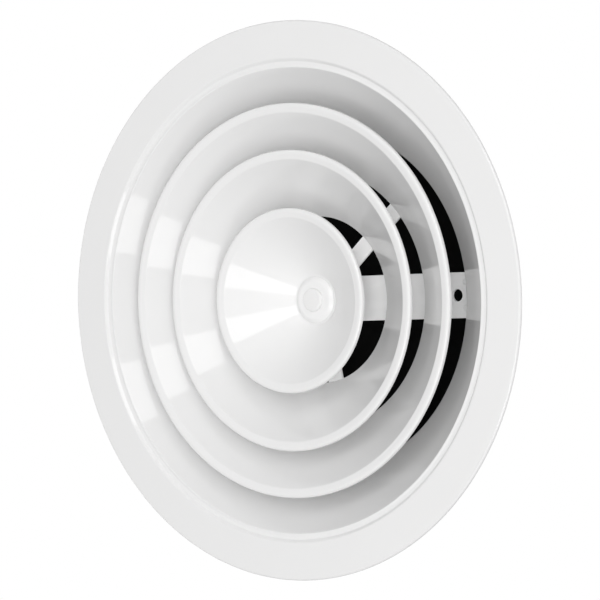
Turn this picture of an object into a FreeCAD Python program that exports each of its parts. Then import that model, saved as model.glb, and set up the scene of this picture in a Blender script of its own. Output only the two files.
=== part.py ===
"""Round ceiling air diffuser with an adjustable core of cones, made as a parametric FreeCAD document.

The origin is the centre of the ceiling plane, which the rim of the face flange rests against.
+Z points up into the duct, the face looks down along -Z, and +X runs along the crossbar.
Everything is in millimetres and degrees.
"""

import FreeCAD, Part
import math
import os
import re
import Sketcher

SIZES = (
    # neck, bell and face
    ("spigot_rad", 99.0, "outer radius of the spigot, for a 200 mm duct"),
    ("sheet", 0.8, "thickness of the pressed sheet parts"),
    ("bell_run", 36.6, "radial width of the bell"),
    ("bell_slope", 45.0, "slope of the bell"),
    ("band_width", 5.5, "width of the narrow band between face and bell"),
    ("band_rise", 1.4, "rise of that band"),
    ("face_width", 20.2, "width of the flat face"),
    ("face_depth", 2.0, "how far the face stands below the ceiling"),
    ("rim_bend", 1.2, "outer bend radius of the flange's rim"),
    ("neck_bend", 7.0, "bend radius from the bell into the collar"),
    ("collar_high", 8.0, "height of the collar above the bell's corner"),
    ("spigot_high", 34.0, "height of the spigot above the collar"),
    ("bead_gap", 0.8, "distance of the spigot's bead from the neck rivets' heads"),
    ("bead_high", 1.5, "how far the bead that stops the duct stands out"),
    ("bead_flat", 1.2, "width of the bead's crown"),
    ("gasket_inset", 4.0, "distance of the ceiling gasket from the rim"),
    ("gasket_width", 10.0, "width of the ceiling gasket"),
    # rivets
    ("rivet_rad", 1.6, "shank radius of the rivets"),
    ("rivet_clear", 0.05, "radial clearance of a rivet in its hole"),
    ("rivet_head_rad", 3.0, "head radius of the rivets"),
    ("rivet_head", 1.1, "head height of the rivets"),
    ("head_taper", 1.2, "how much smaller a rivet head's top is"),
    ("tail_rad", 2.4, "radius of a rivet's formed tail"),
    ("tail_taper", 0.72, "how much smaller a tail's end is"),
    ("tail_high", 1.0, "height of a rivet's formed tail"),
    ("rivet_edge", 2.4, "distance of the neck rivets from the collar's edge"),
    ("neck_rivet_count", 6, "number of neck rivets"),
    ("tail_room", 0.04, "room between a neck rivet's tail and the curved collar"),
    # crossbar
    ("bar_clear", 2.0, "height of the crossbar above the collar"),
    ("bar_width", 26.0, "width of the crossbar"),
    ("bar_thick", 2.0, "thickness of the crossbar"),
    ("bar_bend", 2.0, "inner bend radius of the crossbar's ends"),
    ("tab_high", 16.0, "height of the crossbar's end tabs"),
    ("tab_width", 18.0, "width of those tabs"),
    ("tab_clear", 0.05, "room between a tab's corners and the spigot"),
    ("notch_long", 5.5, "length of the notch beside each bend"),
    ("bar_hole_rad", 3.5, "radius of the mounting holes"),
    ("hole_inset", 14.5, "distance of a mounting hole from the spigot's wall"),
    # cones
    ("mouth_slot", 21.3, "radial distance from the bell's crease to the outer cone"),
    ("rim_pitch", 26.7, "radial distance from the outer cone's rim to the inner's"),
    ("centre_pitch", 33.1, "radial distance from the inner cone's rim to the centre's"),
    ("cone_run", 38.1, "radial distance from a ring cone's rim to its rear edge"),
    ("lip", 6.0, "width of the lip on a cone's rim"),
    ("lip_dip", 0.5, "rise of the lip towards its crease"),
    ("cone_hem", 2.6, "height of the turned up edge of a cone's rim"),
    ("hem_bend", 1.3, "outer bend radius of a cone's rim"),
    ("crease_bend", 0.9, "bend radius where a lip meets its cone"),
    ("ear_length", 11.4, "length of the ears on a cone's rear edge"),
    ("ear_width", 12.0, "width of those ears"),
    ("ear_edge", 4.0, "distance of an ear's rivet from the ear's end"),
    # core frame
    ("core_drop", 17.6, "height of the crossbar above the arms"),
    ("arm_width", 10.0, "width of an arm"),
    ("arm_thick", 1.5, "thickness of an arm"),
    ("arm_gap", 1.0, "distance of an arm's inner end from the cup's neck"),
    ("core_turn", -41.5, "direction of the first arm, from the crossbar"),
    ("plate_rad", 25.0, "radius of the hub plate"),
    ("plate_thick", 1.5, "thickness of the hub plate"),
    ("plate_edge", 5.5, "distance of the hub rivets from the plate's edge"),
    ("floor_drop", 3.9, "height of the arms above the centre cone's floor"),
    # hub cup
    ("cup_base", 14.4, "radius of the hub cup where it meets the cone's floor"),
    ("cup_bevel", 1.7, "how much smaller the cup's face is"),
    ("cup_proud", 2.1, "how far the cup's face stands below the cone's floor"),
    ("cup_edge", 0.5, "rounding of the cup's face"),
    ("cup_wall", 3.4, "wall between the recess and the neck's outside"),
    ("neck_clear", 0.05, "radial clearance around the cup's neck"),
    ("recess_deep", 7.0, "depth of the recess for the screw's head"),
    ("head_room", 0.6, "radial room around the screw's head"),
    ("ring_width", 2.0, "how far the hub ring stands out from the neck"),
    ("ring_thick", 1.0, "thickness of the hub ring"),
    ("ring_gap", 3.0, "opening of the hub ring"),
    ("groove_deep", 0.6, "depth of the hub ring's groove"),
    ("groove_play", 0.05, "play of the hub ring above the plate"),
    ("neck_past_ring", 0.55, "height of the neck above the hub ring"),
    # adjusting screw
    ("shank_rad", 3.0, "nominal thread radius of the adjusting screw"),
    ("thread_clear", 0.05, "radial clearance of the screw in its holes"),
    ("head_rad", 5.0, "radius of the screw's head"),
    ("head_high", 3.9, "height of the screw's head"),
    ("slot_wide", 1.6, "width of the screw's slot"),
    ("slot_deep", 2.0, "depth of the screw's slot"),
    ("end_bevel", 0.6, "bevel of the screw's end"),
    ("washer_thick", 1.0, "thickness of the thrust washer"),
    ("wave_width", 2.6, "how far the wave washer stands out from the screw"),
    ("wave_thick", 0.8, "height of the wave washer as fitted"),
    ("clip_width", 2.0, "how far the retaining clip stands out from the screw"),
    ("clip_thick", 0.8, "thickness of the retaining clip"),
    ("clip_gap", 2.2, "opening of the retaining clip"),
    ("clip_groove", 0.5, "depth of the clip's groove"),
    ("nut_flats", 10.0, "width across the flats of the nuts"),
    ("nut_high", 5.0, "height of the nut on the crossbar"),
    ("stop_high", 3.0, "height of the stop nut"),
    ("lower_travel", 14.0, "how far the core can be lowered"),
    ("stop_clear", 0.4, "room left at the stop nut when the core is lowered"),
    ("screw_past_stop", 1.2, "length of screw above the stop nut"),
    # screw cap
    ("cap_lap", 1.1, "how far the cap covers the cup's face"),
    ("cap_high", 2.2, "height of the cap's crown"),
    ("cap_wall", 0.9, "wall of the cap"),
    ("cap_skirt", 1.7, "height of the cap's skirt inside the recess"),
    ("cap_clear", 0.05, "radial clearance of the skirt in the recess"),
    ("cap_edge", 0.5, "rounding of the cap's edge"),
    # cutting outlines
    ("cut_past", 1.0, "how far a cutting outline runs past what it cuts"),
)

# places that follow from the sizes, as expressions
FACE = "(-face_depth)"
COLLAR_IN = "(spigot_rad - 2 * sheet)"
CREASE_RAD = f"({COLLAR_IN} + bell_run)"
BAND_RAD = f"({CREASE_RAD} + band_width)"
FLANGE_RAD = f"({BAND_RAD} + face_width)"
BELL_TOP = f"({FACE} + band_rise + bell_run * tan(bell_slope))"
COLLAR_TOP = f"({BELL_TOP} + collar_high)"
SPIGOT_TOP = f"({COLLAR_TOP} + spigot_high)"
NECK_RIVETS_AT = f"({COLLAR_TOP} - rivet_edge)"
BEAD_START = f"({NECK_RIVETS_AT} + rivet_head_rad + bead_gap)"
BEAD_END = f"({BEAD_START} + 2 * bead_high + bead_flat)"
BAR_LEVEL = f"({COLLAR_TOP} + bar_clear)"
TAB_OUT = "(sqrt(pow(spigot_rad - sheet; 2) - pow(tab_width / 2; 2)) - tab_clear)"
ARM_LEVEL = f"({BAR_LEVEL} - core_drop)"
FLOOR_LEVEL = f"({ARM_LEVEL} - floor_drop)"
PLATE_LEVEL = f"({ARM_LEVEL} + arm_thick)"
PLATE_TOP = f"({PLATE_LEVEL} + plate_thick)"
PLATE_RIVET = "(plate_rad - plate_edge)"
OUTER_RIM = f"({CREASE_RAD} - mouth_slot)"
INNER_RIM = f"({OUTER_RIM} - rim_pitch)"
CENTRE_RIM = f"({INNER_RIM} - centre_pitch)"
OUTER_REAR = f"({OUTER_RIM} - cone_run)"
INNER_REAR = f"({INNER_RIM} - cone_run)"
RECESS_RAD = "(head_rad + head_room)"
NECK_RAD = f"({RECESS_RAD} + cup_wall)"
NECK_HOLE = f"({NECK_RAD} + neck_clear)"
CUP_FACE = f"({FLOOR_LEVEL} - cup_proud)"
RECESS_TOP = f"({CUP_FACE} + recess_deep)"
RING_LEVEL = f"({PLATE_TOP} + groove_play)"
NECK_TOP = f"({RING_LEVEL} + ring_thick + neck_past_ring)"
SCREW_HOLE = "(shank_rad + thread_clear)"
HEAD_TOP = f"({RECESS_TOP} - washer_thick)"
HEAD_BOTTOM = f"({HEAD_TOP} - head_high)"
CLIP_LEVEL = f"({NECK_TOP} + wave_thick)"
STOP_LEVEL = f"({BAR_LEVEL} + bar_thick + nut_high + lower_travel + stop_clear)"
SCREW_END = f"({STOP_LEVEL} + stop_high + screw_past_stop)"

ARMS = 3

doc = FreeCAD.newDocument("ceiling_diffuser")
sheet = doc.addObject("Spreadsheet::Sheet", "Sizes")
nodes = []


def fill_sheet():
    for row, (alias, number, meaning) in enumerate(SIZES, start=1):
        sheet.set(f"A{row}", str(number))
        sheet.setAlias(f"A{row}", alias)
        sheet.set(f"B{row}", meaning)
    doc.recompute()


def bound(text):
    """The expression text with each size's name pointing at the sheet."""
    names = {alias for alias, _, _ in SIZES}
    return re.sub(r"[a-z_]+", lambda m: "Sizes." + m[0] if m[0] in names else m[0], str(text))


def value(text):
    """The number that an expression gives now."""
    result = sheet.evalExpression(bound(text))
    return float(getattr(result, "Value", result))


def tie(thing, target, text):
    thing.setExpression(target, bound(text))


# ---------------------------------------------------------------- helpers


def new_body(label):
    body = doc.addObject("PartDesign::Body", label)
    body.Label = label
    body.AllowCompound = True
    nodes.append(body)
    return body


def origin_part(body, role):
    return next(item for item in body.Origin.OriginFeatures if item.Role == role)


def new_sketch(body, name, role, level="0"):
    """A sketch on one of the body's own origin planes, moved along the plane's normal."""
    sketch = body.newObject("Sketcher::SketchObject", f"{body.Label}_{name}")
    sketch.AttachmentSupport = (origin_part(body, role), [""])
    sketch.MapMode = "FlatFace"
    if level != "0":
        tie(sketch, "AttachmentOffset.Base.z", level)
    return sketch


def hold(sketch, item, point, across, up):
    """Hold one point of the sketch at two distances from its origin."""
    for kind, text in (("DistanceX", across), ("DistanceY", up)):
        index = sketch.addConstraint(
            Sketcher.Constraint(kind, -1, 1, item, point, value(text))
        )
        tie(sketch, f"Constraints[{index}]", text)


def outline(sketch, corners):
    """A closed outline of straight lines through corners given as pairs of expressions."""
    spots = [FreeCAD.Vector(value(across), value(up), 0) for across, up in corners]
    count = len(corners)
    first = sketch.GeometryCount
    for i in range(count):
        sketch.addGeometry(Part.LineSegment(spots[i], spots[(i + 1) % count]))
    for i in range(count):
        following = first + (i + 1) % count
        sketch.addConstraint(Sketcher.Constraint("Coincident", first + i, 2, following, 1))
    for i, (across, up) in enumerate(corners):
        hold(sketch, first + i, 1, across, up)


def circle(sketch, across, up, radius):
    centre = FreeCAD.Vector(value(across), value(up), 0)
    item = sketch.addGeometry(Part.Circle(centre, FreeCAD.Vector(0, 0, 1), value(radius)))
    hold(sketch, item, 3, across, up)
    index = sketch.addConstraint(Sketcher.Constraint("Radius", item, value(radius)))
    tie(sketch, f"Constraints[{index}]", radius)


def turn(body, name, corners):
    """Turn an outline of (radius, level) corners round the Z axis."""
    sketch = new_sketch(body, name + "_outline", "XZ_Plane")
    outline(sketch, corners)
    feature = body.newObject("PartDesign::Revolution", f"{body.Label}_{name}")
    feature.Profile = sketch
    feature.ReferenceAxis = (sketch, ["V_Axis"])
    feature.Angle = 360
    doc.recompute()
    return feature


def pad(body, name, sketch, length, both_ways=False):
    feature = body.newObject("PartDesign::Pad", f"{body.Label}_{name}")
    feature.Profile = sketch
    feature.SideType = "Symmetric" if both_ways else "One side"
    tie(feature, "Length", length)
    doc.recompute()
    return feature


def cut(body, name, sketch, length, both_ways=True, backwards=False):
    """A pocket that has to take material away."""
    before = body.Shape.Volume
    feature = body.newObject("PartDesign::Pocket", f"{body.Label}_{name}")
    feature.Profile = sketch
    feature.SideType = "Symmetric" if both_ways else "One side"
    feature.Reversed = backwards
    tie(feature, "Length", length)
    doc.recompute()
    if body.Shape.Volume >= before:
        raise RuntimeError(f"{feature.Name} cuts nothing")
    return feature


def repeat(body, name, features, count):
    """Repeat features round the body's Z axis."""
    pattern = body.newObject("PartDesign::PolarPattern", f"{body.Label}_{name}")
    pattern.Originals = features
    pattern.Axis = (origin_part(body, "Z_Axis"), [""])
    pattern.Angle = 360
    tie(pattern, "Occurrences", count)
    body.Tip = pattern
    doc.recompute()
    return pattern


def circles_at(shape, spots):
    """Names of the circular edges round the Z axis that pass through (radius, level) spots."""
    found = []
    for i, edge in enumerate(shape.Edges, start=1):
        if not isinstance(edge.Curve, Part.Circle):
            continue
        centre = edge.Curve.Center
        if math.hypot(centre.x, centre.y) > 1e-4:
            continue
        for radius, level in spots:
            if abs(edge.Curve.Radius - radius) < 1e-3 and abs(centre.z - level) < 1e-3:
                found.append(f"Edge{i}")
    return found


def round_circles(body, name, radius, spots):
    """Round the circular edges at (radius, level) spots given as expressions."""
    feature = body.newObject("PartDesign::Fillet", f"{body.Label}_{name}")
    base = feature.BaseFeature
    places = [(value(across), value(up)) for across, up in spots]
    edges = circles_at(base.Shape, places)
    if len(edges) != len(places):
        raise RuntimeError(f"{feature.Name} found {len(edges)} of {len(places)} edges")
    feature.Base = (base, edges)
    tie(feature, "Radius", radius)
    doc.recompute()
    return feature


def aim(body, angle):
    """Turn a whole sub-part about the Z axis."""
    body.Placement = FreeCAD.Placement(
        FreeCAD.Vector(0, 0, 0), FreeCAD.Rotation(FreeCAD.Vector(0, 0, 1), value(angle))
    )
    tie(body, "Placement.Rotation.Angle", angle)


# ---------------------------------------------------------------- housing


def face_flange():
    """Flange, crease, bell and collar, pressed from one sheet, with a turned up rim."""
    body = new_body("face_flange")
    rise = "(sheet * tan(bell_slope / 2))"
    turn(body, "pressing", [
        (FLANGE_RAD, "0"),
        (FLANGE_RAD, FACE),
        (BAND_RAD, FACE),
        (CREASE_RAD, f"{FACE} + band_rise"),
        (COLLAR_IN, BELL_TOP),
        (COLLAR_IN, COLLAR_TOP),
        (f"{COLLAR_IN} + sheet", COLLAR_TOP),
        (f"{COLLAR_IN} + sheet", f"{BELL_TOP} + sheet * tan((90 - bell_slope) / 2)"),
        (f"{CREASE_RAD} + {rise}", f"{FACE} + band_rise + sheet"),
        (f"{BAND_RAD} + {rise} / 3", f"{FACE} + sheet"),
        (f"{FLANGE_RAD} - sheet", f"{FACE} + sheet"),
        (f"{FLANGE_RAD} - sheet", "0"),
    ])
    round_circles(body, "rim", "rim_bend", [(FLANGE_RAD, FACE)])
    round_circles(body, "rim_inside", "rim_bend - sheet",
                  [(f"{FLANGE_RAD} - sheet", f"{FACE} + sheet")])
    round_circles(body, "neck", "neck_bend + sheet", [(COLLAR_IN, BELL_TOP)])
    round_circles(body, "neck_back", "neck_bend",
                  [(f"{COLLAR_IN} + sheet", f"{BELL_TOP} + sheet * tan((90 - bell_slope) / 2)")])
    return neck_holes(body)


def neck_holes(body):
    """Holes for the neck rivets, through the wall at +X and repeated round the axis."""
    sketch = new_sketch(body, "hole_place", "YZ_Plane")
    circle(sketch, "0", NECK_RIVETS_AT, "rivet_rad + rivet_clear")
    holes = cut(body, "hole", sketch, "spigot_rad + cut_past", both_ways=False, backwards=True)
    repeat(body, "holes", [holes], "neck_rivet_count")
    aim(body, "180 / neck_rivet_count")
    return body


def duct_spigot():
    """Short tube round the bell's collar, with a bead that stops the duct pushed over it."""
    body = new_body("duct_spigot")
    bend_end = f"{BELL_TOP} + (neck_bend + 2 * sheet) * tan((90 - bell_slope) / 2)"
    shift = "sheet * tan(45 / 2)"
    turn(body, "tube", [
        ("spigot_rad - sheet", bend_end),
        ("spigot_rad", bend_end),
        ("spigot_rad", BEAD_START),
        ("spigot_rad + bead_high", f"{BEAD_START} + bead_high"),
        ("spigot_rad + bead_high", f"{BEAD_END} - bead_high"),
        ("spigot_rad", BEAD_END),
        ("spigot_rad", SPIGOT_TOP),
        ("spigot_rad - sheet", SPIGOT_TOP),
        ("spigot_rad - sheet", f"{BEAD_END} - {shift}"),
        ("spigot_rad + bead_high - sheet", f"{BEAD_END} - bead_high - {shift}"),
        ("spigot_rad + bead_high - sheet", f"{BEAD_START} + bead_high + {shift}"),
        ("spigot_rad - sheet", f"{BEAD_START} + {shift}"),
    ])
    return neck_holes(body)


def neck_rivets():
    """Rivets that hold the spigot to the collar, with their heads outside."""
    body = new_body("neck_rivets")
    sketch = new_sketch(body, "outline", "XZ_Plane")
    inside = f"({COLLAR_IN} - tail_room)"
    outline(sketch, [
        (f"{inside} - tail_high", NECK_RIVETS_AT),
        (f"{inside} - tail_high", f"{NECK_RIVETS_AT} + tail_rad - tail_taper"),
        (inside, f"{NECK_RIVETS_AT} + tail_rad"),
        (inside, f"{NECK_RIVETS_AT} + rivet_rad"),
        ("spigot_rad", f"{NECK_RIVETS_AT} + rivet_rad"),
        ("spigot_rad", f"{NECK_RIVETS_AT} + rivet_head_rad"),
        ("spigot_rad + rivet_head", f"{NECK_RIVETS_AT} + rivet_head_rad - head_taper"),
        ("spigot_rad + rivet_head", NECK_RIVETS_AT),
    ])
    rivet = body.newObject("PartDesign::Revolution", "neck_rivets_rivet")
    rivet.Profile = sketch
    rivet.ReferenceAxis = (sketch, ["Edge8"])
    rivet.Angle = 360
    repeat(body, "ring", [rivet], "neck_rivet_count")
    aim(body, "180 / neck_rivet_count")


def ceiling_gasket():
    """Foam ring between the back of the flange and the ceiling."""
    body = new_body("ceiling_gasket")
    outside = f"{FLANGE_RAD} - gasket_inset"
    turn(body, "ring", [
        (f"{outside} - gasket_width", f"{FACE} + sheet"),
        (outside, f"{FACE} + sheet"),
        (outside, "0"),
        (f"{outside} - gasket_width", "0"),
    ])


def crossbar():
    """Flat strip across the neck, with its ends bent up as tabs that are welded to the spigot."""
    body = new_body("crossbar")
    sketch = new_sketch(body, "side", "XZ_Plane")
    tab_top = f"{BAR_LEVEL} + tab_high"
    outline(sketch, [
        (f"-{TAB_OUT}", BAR_LEVEL),
        (TAB_OUT, BAR_LEVEL),
        (TAB_OUT, tab_top),
        (f"{TAB_OUT} - bar_thick", tab_top),
        (f"{TAB_OUT} - bar_thick", f"{BAR_LEVEL} + bar_thick"),
        (f"bar_thick - {TAB_OUT}", f"{BAR_LEVEL} + bar_thick"),
        (f"bar_thick - {TAB_OUT}", tab_top),
        (f"-{TAB_OUT}", tab_top),
    ])
    strip = pad(body, "strip", sketch, "bar_width", both_ways=True)
    bend_crossbar(body, strip)
    notches = new_sketch(body, "notch_place", "XY_Plane", f"{BAR_LEVEL} + tab_high / 2")
    for end in (1, -1):
        for side in (1, -1):
            near = f"{end} * ({TAB_OUT} - notch_long)"
            far = f"{end} * ({TAB_OUT} + cut_past)"
            outline(notches, [
                (near, f"{side} * tab_width / 2"),
                (far, f"{side} * tab_width / 2"),
                (far, f"{side} * (bar_width / 2 + cut_past)"),
                (near, f"{side} * (bar_width / 2 + cut_past)"),
            ])
    cut(body, "notches", notches, "2 * tab_high")
    holes = new_sketch(body, "hole_place", "XY_Plane", BAR_LEVEL)
    for end in (1, -1):
        circle(holes, f"{end} * (spigot_rad - hole_inset)", "0", "bar_hole_rad")
    circle(holes, "0", "0", SCREW_HOLE)
    cut(body, "holes", holes, "4 * bar_thick")


def bend_crossbar(body, strip):
    """Round the two bends of the crossbar, outside and inside."""
    outside = value(TAB_OUT)
    inside = outside - value("bar_thick")
    bends = {
        "outer": (outside, value(BAR_LEVEL), "bar_bend + bar_thick"),
        "inner": (inside, value(f"{BAR_LEVEL} + bar_thick"), "bar_bend"),
    }
    for name, (reach, level, radius) in bends.items():
        feature = body.newObject("PartDesign::Fillet", f"crossbar_{name}_bends")
        base = feature.BaseFeature
        edges = []
        for i, edge in enumerate(base.Shape.Edges, start=1):
            middle = edge.CenterOfMass
            if abs(abs(middle.x) - reach) < 1e-3 and abs(middle.z - level) < 1e-3:
                if abs(middle.y) < 1e-3 and edge.Length > value("bar_width") - 1e-3:
                    edges.append(f"Edge{i}")
        if len(edges) != 2:
            raise RuntimeError(f"{feature.Name} found {len(edges)} of 2 edges")
        feature.Base = (base, edges)
        tie(feature, "Radius", radius)
        doc.recompute()


def hexagon(body, name, level, height, hole):
    """A nut: hexagonal prism with a round hole."""
    sketch = new_sketch(body, name + "_outline", "XY_Plane", level)
    corners = []
    for k in range(6):
        angle = 60 * k
        corners.append((
            f"nut_flats / 2 / cos(30) * cos({angle})",
            f"nut_flats / 2 / cos(30) * sin({angle})",
        ))
    outline(sketch, corners)
    circle(sketch, "0", "0", hole)
    return pad(body, name, sketch, height)


def bar_nut():
    """Nut welded on the crossbar, in which the adjusting screw turns."""
    body = new_body("bar_nut")
    hexagon(body, "nut", f"{BAR_LEVEL} + bar_thick", "nut_high", SCREW_HOLE)


# ---------------------------------------------------------------- core


def cone_slope(rim, rear, rear_level):
    return f"atan(({rear_level} - {FACE} - lip_dip) / ({rim} - lip - {rear}))"


def cone_bends(body, rim, half):
    """Bends of a cone's rim: the turned up edge and the crease inside the lip."""
    round_circles(body, "rim_bend", "hem_bend", [(rim, FACE)])
    round_circles(body, "rim_bend_inside", "hem_bend - sheet",
                  [(f"{rim} - sheet", f"{FACE} + sheet")])
    round_circles(body, "crease", "crease_bend + sheet",
                  [(f"{rim} - lip", f"{FACE} + lip_dip")])
    round_circles(body, "crease_back", "crease_bend",
                  [(f"{rim} - lip + {half}", f"{FACE} + lip_dip + sheet")])


def ear_hole(rear):
    return f"({rear} + ear_length - ear_edge)"


def ring_cone(label, rim, rear):
    """Open cone with a lip at its rim and three ears on its rear edge."""
    body = new_body(label)
    slope = cone_slope(rim, rear, ARM_LEVEL)
    half = f"sheet * tan({slope} / 2)"
    turn(body, "wall", [
        (rim, f"{FACE} + cone_hem"),
        (rim, FACE),
        (f"{rim} - lip", f"{FACE} + lip_dip"),
        (rear, ARM_LEVEL),
        (f"{rear} + sheet / sin({slope})", ARM_LEVEL),
        (f"{rim} - lip + {half}", f"{FACE} + lip_dip + sheet"),
        (f"{rim} - sheet", f"{FACE} + sheet"),
        (f"{rim} - sheet", f"{FACE} + cone_hem"),
    ])
    cone_bends(body, rim, half)
    sketch = new_sketch(body, "ear_outline", "XY_Plane", f"{ARM_LEVEL} - sheet")
    outline(sketch, [
        (f"{rear} + sheet", "-ear_width / 2"),
        (f"{rear} + ear_length", "-ear_width / 2"),
        (f"{rear} + ear_length", "ear_width / 2"),
        (f"{rear} + sheet", "ear_width / 2"),
    ])
    circle(sketch, ear_hole(rear), "0", "rivet_rad + rivet_clear")
    ear = pad(body, "ear", sketch, "sheet")
    repeat(body, "ears", [ear], ARMS)
    aim(body, "core_turn")


def centre_cone():
    """Dished cone in the middle, with a flat floor that the hub cup clamps."""
    body = new_body("centre_cone")
    slope = f"atan(({FLOOR_LEVEL} - {FACE} - lip_dip) / ({CENTRE_RIM} - lip - cup_base))"
    half = f"sheet * tan({slope} / 2)"
    turn(body, "wall", [
        (CENTRE_RIM, f"{FACE} + cone_hem"),
        (CENTRE_RIM, FACE),
        (f"{CENTRE_RIM} - lip", f"{FACE} + lip_dip"),
        ("cup_base", FLOOR_LEVEL),
        (NECK_HOLE, FLOOR_LEVEL),
        (NECK_HOLE, f"{FLOOR_LEVEL} + sheet"),
        (f"cup_base + {half}", f"{FLOOR_LEVEL} + sheet"),
        (f"{CENTRE_RIM} - lip + {half}", f"{FACE} + lip_dip + sheet"),
        (f"{CENTRE_RIM} - sheet", f"{FACE} + sheet"),
        (f"{CENTRE_RIM} - sheet", f"{FACE} + cone_hem"),
    ])
    cone_bends(body, CENTRE_RIM, half)


def arm(number):
    """Flat strip from the hub plate to the ears of both ring cones."""
    body = new_body(f"core_arm_{number + 1}")
    sketch = new_sketch(body, "outline", "XY_Plane", ARM_LEVEL)
    start = f"({NECK_RAD} + arm_gap)"
    end = f"({OUTER_REAR} + ear_length)"
    outline(sketch, [
        (start, "-arm_width / 2"),
        (end, "-arm_width / 2"),
        (end, "arm_width / 2"),
        (start, "arm_width / 2"),
    ])
    for spot in (PLATE_RIVET, ear_hole(INNER_REAR), ear_hole(OUTER_REAR)):
        circle(sketch, spot, "0", "rivet_rad + rivet_clear")
    pad(body, "strip", sketch, "arm_thick")
    aim(body, f"core_turn + {number} * 360 / {ARMS}")


def core_rivets(label, spot, underside, upper_side):
    """Three rivets that stand along Z at one radius, with their heads above."""
    body = new_body(label)
    sketch = new_sketch(body, "outline", "XZ_Plane")
    outline(sketch, [
        (spot, f"{underside} - tail_high"),
        (f"{spot} + tail_rad - tail_taper", f"{underside} - tail_high"),
        (f"{spot} + tail_rad", underside),
        (f"{spot} + rivet_rad", underside),
        (f"{spot} + rivet_rad", upper_side),
        (f"{spot} + rivet_head_rad", upper_side),
        (f"{spot} + rivet_head_rad - head_taper", f"{upper_side} + rivet_head"),
        (spot, f"{upper_side} + rivet_head"),
    ])
    rivet = body.newObject("PartDesign::Revolution", f"{label}_rivet")
    rivet.Profile = sketch
    rivet.ReferenceAxis = (sketch, ["Edge8"])
    rivet.Angle = 360
    repeat(body, "ring", [rivet], ARMS)
    aim(body, "core_turn")


def hub_plate():
    """Disc on top of the arms' inner ends."""
    body = new_body("hub_plate")
    sketch = new_sketch(body, "outline", "XY_Plane", PLATE_LEVEL)
    circle(sketch, "0", "0", "plate_rad")
    circle(sketch, "0", "0", NECK_HOLE)
    for k in range(ARMS):
        angle = f"(core_turn + {k} * 360 / {ARMS})"
        circle(sketch, f"{PLATE_RIVET} * cos({angle})", f"{PLATE_RIVET} * sin({angle})",
               "rivet_rad + rivet_clear")
    pad(body, "disc", sketch, "plate_thick")


def hub_spacer():
    """Ring between the centre cone's floor and the arms."""
    body = new_body("hub_spacer")
    turn(body, "ring", [
        (NECK_HOLE, f"{FLOOR_LEVEL} + sheet"),
        ("cup_base", f"{FLOOR_LEVEL} + sheet"),
        ("cup_base", ARM_LEVEL),
        (NECK_HOLE, ARM_LEVEL),
    ])


def hub_cup():
    """Turned cup that clamps the centre cone to the arms and carries the screw's head."""
    body = new_body("hub_cup")
    groove_rad = f"{NECK_RAD} - groove_deep"
    turn(body, "cup", [
        (RECESS_RAD, CUP_FACE),
        ("cup_base - cup_bevel", CUP_FACE),
        ("cup_base", FLOOR_LEVEL),
        (NECK_RAD, FLOOR_LEVEL),
        (NECK_RAD, RING_LEVEL),
        (groove_rad, RING_LEVEL),
        (groove_rad, f"{RING_LEVEL} + ring_thick"),
        (NECK_RAD, f"{RING_LEVEL} + ring_thick"),
        (NECK_RAD, NECK_TOP),
        (SCREW_HOLE, NECK_TOP),
        (SCREW_HOLE, RECESS_TOP),
        (RECESS_RAD, RECESS_TOP),
    ])
    round_circles(body, "face_edge", "cup_edge", [("cup_base - cup_bevel", CUP_FACE)])


def flat_ring(label, inside, outside, bottom, height):
    body = new_body(label)
    turn(body, "ring", [
        (inside, bottom),
        (outside, bottom),
        (outside, f"{bottom} + {height}"),
        (inside, f"{bottom} + {height}"),
    ])
    return body


def open_ring(body, outside, bottom, height, gap):
    """Cut a ring open at +X."""
    sketch = new_sketch(body, "gap", "XY_Plane", bottom)
    outline(sketch, [
        ("0", f"-{gap} / 2"),
        (f"{outside} + cut_past", f"-{gap} / 2"),
        (f"{outside} + cut_past", f"{gap} / 2"),
        ("0", f"{gap} / 2"),
    ])
    cut(body, "opening", sketch, f"4 * {height}")


def hub_ring():
    """Retaining ring in the groove of the cup's neck."""
    outside = f"({NECK_RAD} + ring_width)"
    body = flat_ring("hub_ring", f"{NECK_RAD} - groove_deep", outside, RING_LEVEL, "ring_thick")
    open_ring(body, outside, RING_LEVEL, "ring_thick", "ring_gap")


# ---------------------------------------------------------------- screw


def adjusting_screw():
    """Slotted cheese-head screw whose head is held in the hub cup."""
    body = new_body("adjusting_screw")
    turn(body, "shank", [
        ("0", HEAD_BOTTOM),
        ("head_rad", HEAD_BOTTOM),
        ("head_rad", HEAD_TOP),
        ("shank_rad", HEAD_TOP),
        ("shank_rad", CLIP_LEVEL),
        ("shank_rad - clip_groove", CLIP_LEVEL),
        ("shank_rad - clip_groove", f"{CLIP_LEVEL} + clip_thick"),
        ("shank_rad", f"{CLIP_LEVEL} + clip_thick"),
        ("shank_rad", f"{SCREW_END} - end_bevel"),
        ("shank_rad - end_bevel", SCREW_END),
        ("0", SCREW_END),
    ])
    sketch = new_sketch(body, "slot_outline", "XY_Plane", HEAD_BOTTOM)
    outline(sketch, [
        ("-head_rad - cut_past", "-slot_wide / 2"),
        ("head_rad + cut_past", "-slot_wide / 2"),
        ("head_rad + cut_past", "slot_wide / 2"),
        ("-head_rad - cut_past", "slot_wide / 2"),
    ])
    cut(body, "slot", sketch, "2 * slot_deep")


def retaining_clip():
    """Open clip in the screw's groove, which keeps the screw in the cup."""
    outside = "(shank_rad + clip_width)"
    body = flat_ring("retaining_clip", "shank_rad - clip_groove", outside, CLIP_LEVEL, "clip_thick")
    open_ring(body, outside, CLIP_LEVEL, "clip_thick", "clip_gap")


def stop_nut():
    """Thin nut locked on the screw's end, which limits how far the core can be lowered."""
    body = new_body("stop_nut")
    hexagon(body, "nut", STOP_LEVEL, "stop_high", "shank_rad")


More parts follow.
